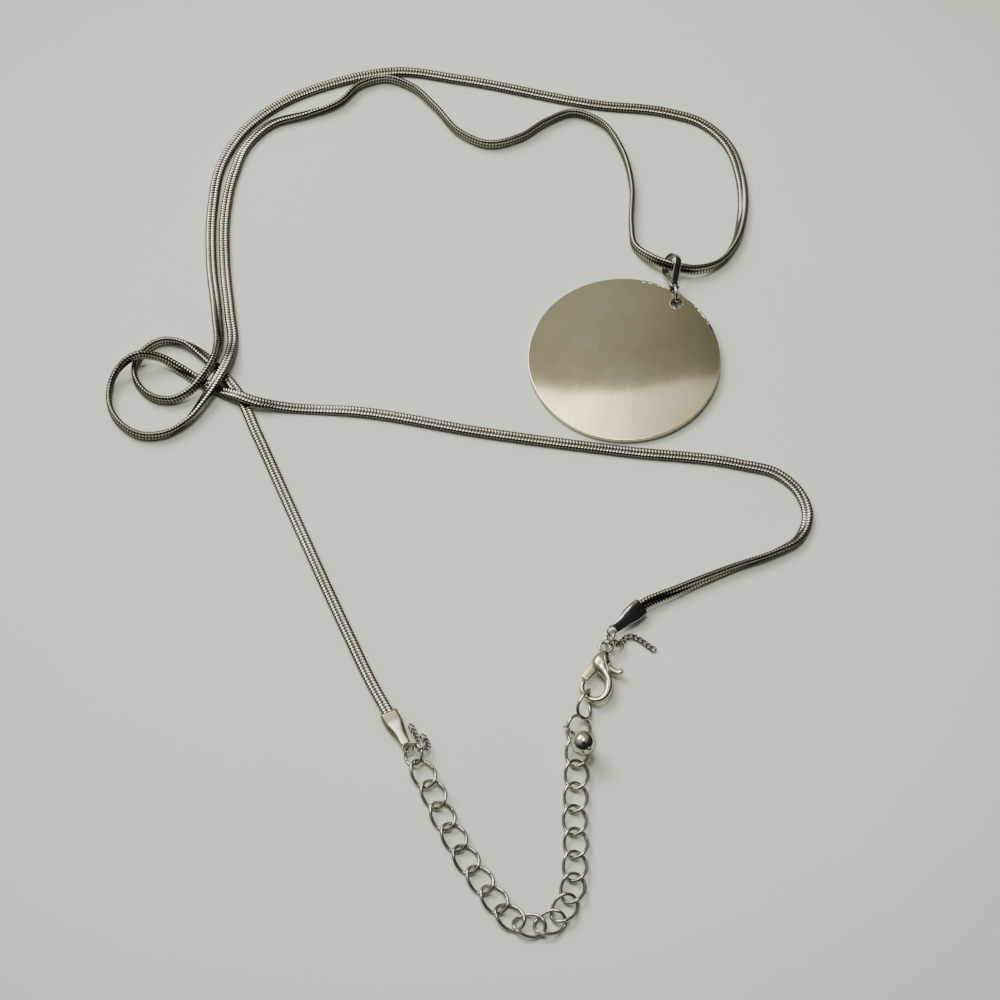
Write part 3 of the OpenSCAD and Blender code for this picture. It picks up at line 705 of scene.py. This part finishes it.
# ---------------------------------------------------------------- table, light and surroundings
def table_material():
    m, nt, b = new_mat("table_paper")
    co = object_coords(nt)
    tone = ramp(nt, noise(nt, co, 7.0, 3.0), [(0.3, (0.76, 0.79, 0.70)), (0.7, (0.79, 0.82, 0.73))])
    # painted light falloff: the paper is painted darker away from the middle of the necklace, a painted pool of light
    far = nt.nodes.new("ShaderNodeVectorMath")
    far.operation = "DISTANCE"
    far.inputs[1].default_value = (-0.025, -0.012, 0.0)
    nt.links.new(co, far.inputs[0])
    painted_light_falloff = ramp(nt, map_range(nt, far.outputs["Value"], From_Max=0.2), [
        (0.0, (1.0, 1.0, 1.0)), (0.35, (0.985, 0.995, 0.985)), (0.52, (0.92, 0.94, 0.925)),
        (0.70, (0.79, 0.80, 0.79)), (0.85, (0.71, 0.725, 0.72)), (1.0, (0.68, 0.70, 0.70))])
    nt.links.new(multiply(nt, tone, painted_light_falloff), b.inputs["Base Color"])
    b.inputs["Roughness"].default_value = 0.75
    b.inputs["Specular IOR Level"].default_value = 0.25
    nt.links.new(bump(nt, noise(nt, co, 1500.0, 2.0), 0.05, 0.0002), b.inputs["Normal"])
    return m


def sheet_mesh(name, corners, mat):
    me = bpy.data.meshes.new(name)
    me.from_pydata(corners, [], [tuple(range(len(corners)))])
    me.materials.append(mat)
    ob = bpy.data.objects.new(name, me)
    scene.collection.objects.link(ob)


sheet_mesh("table", [(-1.5, -1.5, 0), (1.5, -1.5, 0), (1.5, 1.5, 0), (-1.5, 1.5, 0)], table_material())


def light(name, at, size, size_y, power, colour):
    """A rectangular lamp that faces the origin."""
    d = bpy.data.lights.new(name, "AREA")
    d.shape = "RECTANGLE"
    d.size = size
    d.size_y = size_y
    d.energy = power
    d.color = colour
    o = bpy.data.objects.new(name, d)
    o.location = at
    o.rotation_euler = (-Vector(at)).to_track_quat("-Z", "Y").to_euler()
    scene.collection.objects.link(o)


light("window", (-0.75, 0.75, 1.1), 0.9, 0.7, 19.0, (1.0, 0.995, 0.95))
light("ceiling", (-0.10, 0.16, 1.5), 0.55, 0.4, 8.5, (1.0, 0.99, 0.96))


def card_material(name, stops, strength=1.0):
    """A glowing card with a colour that changes along x: what the polished disc mirrors."""
    m = bpy.data.materials.new(name)
    m.use_nodes = True
    nt = m.node_tree
    nt.nodes.clear()
    out = nt.nodes.new("ShaderNodeOutputMaterial")
    em = nt.nodes.new("ShaderNodeEmission")
    nt.links.new(em.outputs[0], out.inputs["Surface"])
    sp = nt.nodes.new("ShaderNodeSeparateXYZ")
    nt.links.new(object_coords(nt), sp.inputs[0])
    across = map_range(nt, sp.outputs["X"], From_Min=-0.08, From_Max=0.08)
    nt.links.new(ramp(nt, across, stops), em.inputs["Color"])
    em.inputs["Strength"].default_value = strength
    return m


BEIGE = card_material("card_beige", [
    (0.1, (0.44, 0.41, 0.285)), (0.3, (0.40, 0.375, 0.26)), (0.5, (0.44, 0.42, 0.32)), (0.64, (0.32, 0.305, 0.22)),
    (0.8, (0.17, 0.162, 0.115))])
WARM = card_material("card_warm", [
    (0.25, (1.0, 0.90, 0.62)), (0.45, (0.80, 0.72, 0.50)), (0.58, (0.30, 0.275, 0.195)),
    (0.8, (0.115, 0.107, 0.078))], 5.0)
# the two cards hang at one height and meet along a wavy line, which the disc shows as its bright lower edge
CARD_Z = 0.5
CARD_LEFT, CARD_RIGHT, CARD_NEAR, CARD_FAR = -0.13, 0.12, 0.20, 0.43
EDGE = [(CARD_LEFT, 0.2975), (-0.02, 0.2962), (0.006, 0.2945), (0.014, 0.2958), (0.022, 0.2985), (0.046, 0.3020),
        (CARD_RIGHT, 0.3040)]
sheet_mesh("wall_card", [(x, y, CARD_Z) for x, y in EDGE + [(CARD_RIGHT, CARD_FAR), (CARD_LEFT, CARD_FAR)]], BEIGE)
near = [(x, y - 0.0004) for x, y in reversed(EDGE)]
sheet_mesh("lamp_card", [(x, y, CARD_Z) for x, y in [(CARD_LEFT, CARD_NEAR), (CARD_RIGHT, CARD_NEAR)] + near], WARM)

# dark cloth on the near side, which the polished faces mirror
black, black_nt, black_bsdf = new_mat("dark_cloth")
weave = ramp(black_nt, noise(black_nt, object_coords(black_nt), 40.0), [(0.3, grey(0.012)), (0.7, grey(0.03))])
black_nt.links.new(weave, black_bsdf.inputs["Base Color"])
black_bsdf.inputs["Roughness"].default_value = 0.9
sheet_mesh("cloth", [(-0.17, -0.40, 0.42), (0.13, -0.40, 0.42), (0.13, -0.22, 0.56), (-0.17, -0.22, 0.56)], black)

world = bpy.data.worlds.new("room")
world.use_nodes = True
scene.world = world
wn = world.node_tree
wn.nodes.clear()
wout = wn.nodes.new("ShaderNodeOutputWorld")
wbg = wn.nodes.new("ShaderNodeBackground")
wn.links.new(wbg.outputs[0], wout.inputs["Surface"])
wtc = wn.nodes.new("ShaderNodeTexCoord")
# bright overhead and towards the far left, dark on the near side and to the right
lean = wn.nodes.new("ShaderNodeVectorMath")
lean.operation = "DOT_PRODUCT"
lean.inputs[1].default_value = (-0.35, 0.45, 0.82)
wn.links.new(wtc.outputs["Generated"], lean.inputs[0])
wcol = ramp(wn, lean.outputs["Value"], [
    (0.0, (0.035, 0.035, 0.032)), (0.30, (0.05, 0.05, 0.045)), (0.50, (0.20, 0.195, 0.175)), (0.70, (0.46, 0.45, 0.40)),
    (0.92, (0.66, 0.645, 0.58))])
wn.links.new(wcol, wbg.inputs["Color"])
wbg.inputs["Strength"].default_value = 1.0
